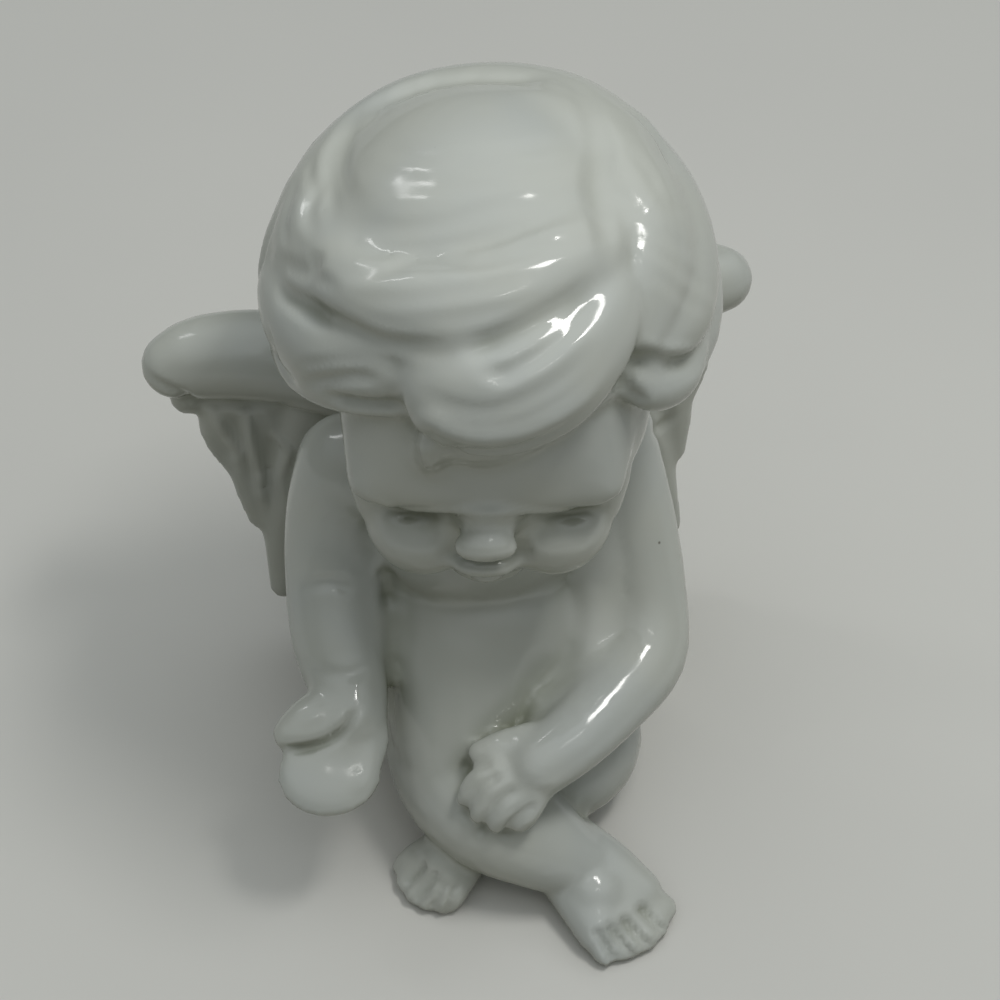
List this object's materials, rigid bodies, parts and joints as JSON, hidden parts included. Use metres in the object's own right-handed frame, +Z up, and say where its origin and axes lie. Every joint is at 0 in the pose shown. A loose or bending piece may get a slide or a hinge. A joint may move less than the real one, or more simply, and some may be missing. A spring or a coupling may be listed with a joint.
{
  "type": "seated cherub figurine",
  "caption": "Glazed porcelain figurine of a winged cherub sitting on the ground with crossed shins, one palm held out.",
  "frame": {"origin": "on the standing plane, under the middle of the seat", "axes": "the figure faces -Y, its own left is +X, +Z is up"},
  "size_m": [0.0805, 0.0726, 0.105],
  "materials": {
    "glazed_porcelain": "clear-glazed white porcelain, high gloss, slightly grey"
  },
  "bodies": {
    "root": {"cherub_figurine": "glazed_porcelain"}
  },
  "joints": []
}
